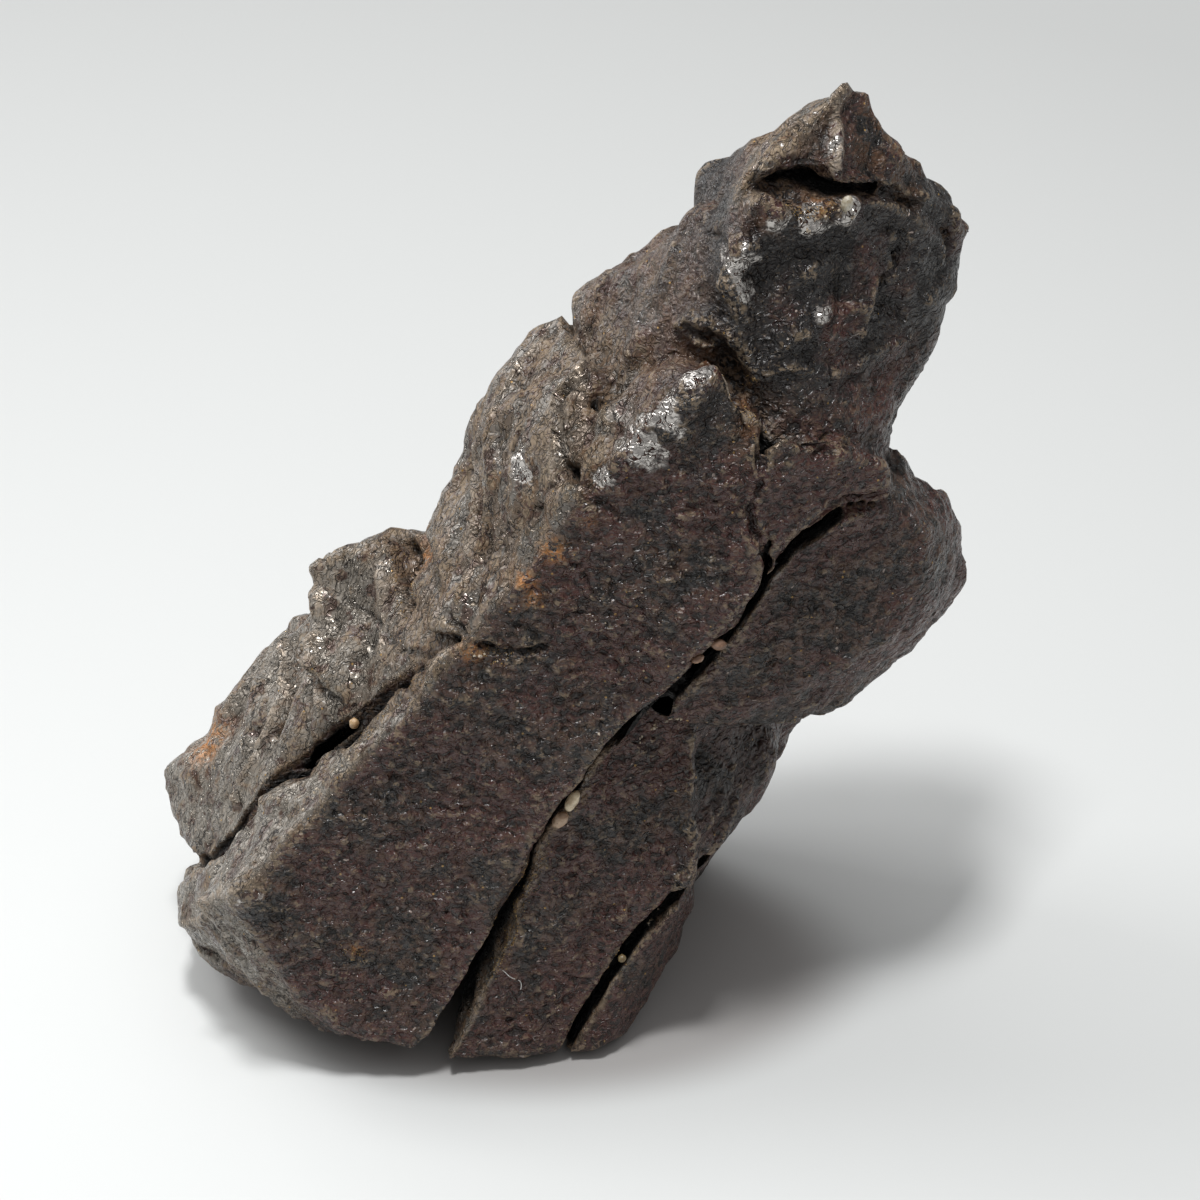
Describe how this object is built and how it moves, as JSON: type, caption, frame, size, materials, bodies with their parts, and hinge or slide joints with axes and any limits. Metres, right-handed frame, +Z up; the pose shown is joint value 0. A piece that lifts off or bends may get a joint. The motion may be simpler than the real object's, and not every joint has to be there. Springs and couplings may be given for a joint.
{
  "type": "chondrite meteorite",
  "caption": "Cracked, desert-varnished stony meteorite that stands on a flat underside, with sand grains lodged in its cracks.",
  "frame": {"origin": "on the ground, under the middle of the stone's bounding box", "axes": "+Z up, the stone's longest extent; -Y the broad flat main face; +X the side that the top leans to"},
  "size_m": [0.048, 0.0264, 0.059],
  "materials": {
    "fusion_crust": "dark brown-black weathered fusion crust with desert varnish, pitted, glossy on worn bumps, rust-stained along edges and cracks",
    "quartz_sand": "worn translucent white to cream quartz grain",
    "feldspar_sand": "worn pinkish brown sand grain"
  },
  "bodies": {
    "root": {"stone": "fusion_crust", "sand_grain_white": "quartz_sand", "sand_grain_pink": "feldspar_sand", "sand_grain_rim_upper": "feldspar_sand", "sand_grain_rim_lower": "feldspar_sand", "sand_grain_cap": "quartz_sand", "sand_grain_side": "feldspar_sand", "sand_grain_small_crack": "feldspar_sand"}
  },
  "joints": []
}
